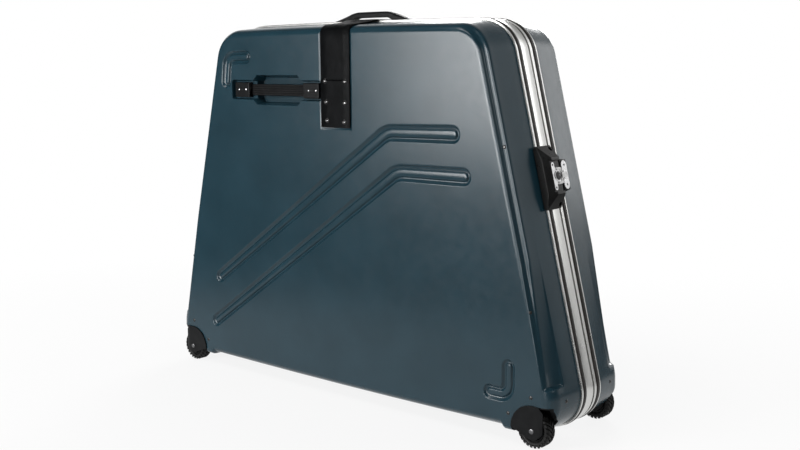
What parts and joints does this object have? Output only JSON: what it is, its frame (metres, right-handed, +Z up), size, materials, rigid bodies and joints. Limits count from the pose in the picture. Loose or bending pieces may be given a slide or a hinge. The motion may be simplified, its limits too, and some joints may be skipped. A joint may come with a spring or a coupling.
{
  "type": "bike travel case",
  "caption": "Hard trapezoid travel case for a bicycle: two hinged shells in metal frames, twist latches on the ends, corner wheels, top and side handles and a closing strap.",
  "frame": {"origin": "on the floor under the middle of the case: the wheels' lowest points lie at z 0, x and y 0 are the middle of its length and depth", "axes": "+Z up with the case standing on its wheels, +X along its length towards the right end, +Y from the front face (with the strap and the side grip) to the rear face"},
  "size_m": [1.177, 0.279, 0.8851],
  "materials": {
    "shell": "dark petrol grey ABS sheet with a fine grain, semi-gloss",
    "frame": "satin extruded aluminium",
    "trim": "dark brown-black strip",
    "seal": "black rubber",
    "foam": "dark grey egg-crate foam",
    "tyre": "black rubber with blocks",
    "webbing": "black woven webbing and ribbed band",
    "latch_metal": "bright nickel plated steel",
    "hardware": "plated steel",
    "moulding": "black moulded plastic with a fine grain"
  },
  "bodies": {
    "rear_half": {"rear_shell": "shell", "rear_trim_strip": "trim", "rear_foam_pad": "foam", "rear_frame": "frame", "frame_seal": "seal", "wheel_housing_rear_left": "moulding", "wheel_housing_rear_right": "moulding", "wheel_axle_rear_left": "hardware", "wheel_axle_rear_right": "hardware", "hinge_left_rear_leaf": "hardware", "hinge_right_rear_leaf": "hardware", "hinge_left_pin": "hardware", "hinge_right_pin": "hardware", "keeper_block_left": "moulding", "keeper_block_right": "moulding", "keeper_plate_left": "latch_metal", "keeper_plate_right": "latch_metal", "strap_hook_patch": "webbing", "tie_strap_lower": "webbing", "tie_strap_upper": "webbing", "tie_buckle_lower": "moulding", "tie_buckle_upper": "moulding"},
    "front_half": {"front_shell": "shell", "front_trim_strip": "trim", "front_foam_pad": "foam", "front_frame": "frame", "wheel_housing_front_left": "moulding", "wheel_housing_front_right": "moulding", "wheel_axle_front_left": "hardware", "wheel_axle_front_right": "hardware", "hinge_left_front_leaf": "hardware", "hinge_right_front_leaf": "hardware", "latch_guard_left": "moulding", "latch_guard_right": "moulding", "latch_plate_left": "latch_metal", "latch_plate_right": "latch_metal", "side_grip_cap_left": "moulding", "side_grip_cap_right": "moulding", "carry_handle_cap_left": "moulding", "carry_handle_cap_right": "moulding", "closing_strap": "webbing"},
    "side_grip": {"side_grip_band": "webbing"},
    "top_handle": {"carry_handle": "moulding"},
    "wheel_front_left": {"tyre_front_left": "tyre", "wheel_hub_front_left": "moulding"},
    "wheel_front_right": {"tyre_front_right": "tyre", "wheel_hub_front_right": "moulding"},
    "wheel_rear_left": {"tyre_rear_left": "tyre", "wheel_hub_rear_left": "moulding"},
    "wheel_rear_right": {"tyre_rear_right": "tyre", "wheel_hub_rear_right": "moulding"},
    "latch_key_left": {"latch_key_left": "latch_metal"},
    "latch_hook_left": {"latch_hook_left": "latch_metal"},
    "latch_key_right": {"latch_key_right": "latch_metal"},
    "latch_hook_right": {"latch_hook_right": "latch_metal"}
  },
  "joints": [
    {"name": "lid_hinge", "type": "hinge", "parent": "rear_half", "child": "front_half", "pos_m": [0, 0.0045, 0.0145], "axis": [1, 0, 0], "range_deg": [0, 105]},
    {"name": "wheel_front_left_spin", "type": "hinge", "parent": "front_half", "child": "wheel_front_left", "pos_m": [-0.53, -0.1188, 0.0377], "axis": [0, 1, 0], "continuous": true},
    {"name": "wheel_front_right_spin", "type": "hinge", "parent": "front_half", "child": "wheel_front_right", "pos_m": [0.53, -0.1188, 0.0377], "axis": [0, 1, 0], "continuous": true},
    {"name": "wheel_rear_left_spin", "type": "hinge", "parent": "rear_half", "child": "wheel_rear_left", "pos_m": [-0.53, 0.1188, 0.0377], "axis": [0, 1, 0], "continuous": true},
    {"name": "wheel_rear_right_spin", "type": "hinge", "parent": "rear_half", "child": "wheel_rear_right", "pos_m": [0.53, 0.1188, 0.0377], "axis": [0, 1, 0], "continuous": true},
    {"name": "latch_key_left_turn", "type": "hinge", "parent": "front_half", "child": "latch_key_left", "pos_m": [-0.50322, -0.0105, 0.54044], "axis": [-0.9717, 0, 0.2362], "range_deg": [0, 180]},
    {"name": "latch_hook_left_slide", "type": "slide", "parent": "front_half", "child": "latch_hook_left", "axis": [0, 1, 0], "range_m": [0, 0.004]},
    {"name": "latch_key_right_turn", "type": "hinge", "parent": "front_half", "child": "latch_key_right", "pos_m": [0.50322, -0.0105, 0.54044], "axis": [0.9717, 0, 0.2362], "range_deg": [0, 180]},
    {"name": "latch_hook_right_slide", "type": "slide", "parent": "front_half", "child": "latch_hook_right", "axis": [0, 1, 0], "range_m": [0, 0.004]},
    {"name": "carry_handle_slide", "type": "slide", "parent": "front_half", "child": "top_handle", "axis": [0, 0, 1], "range_m": [0, 0.004]},
    {"name": "side_grip_slide", "type": "slide", "parent": "front_half", "child": "side_grip", "axis": [0, -1, 0], "range_m": [0, 0.007]}
  ],
  "couplings": [
    {"joint": "latch_key_left_turn", "follows": "latch_hook_left_slide", "rad_per_m": 785.4},
    {"joint": "latch_key_right_turn", "follows": "latch_hook_right_slide", "rad_per_m": 785.4}
  ]
}
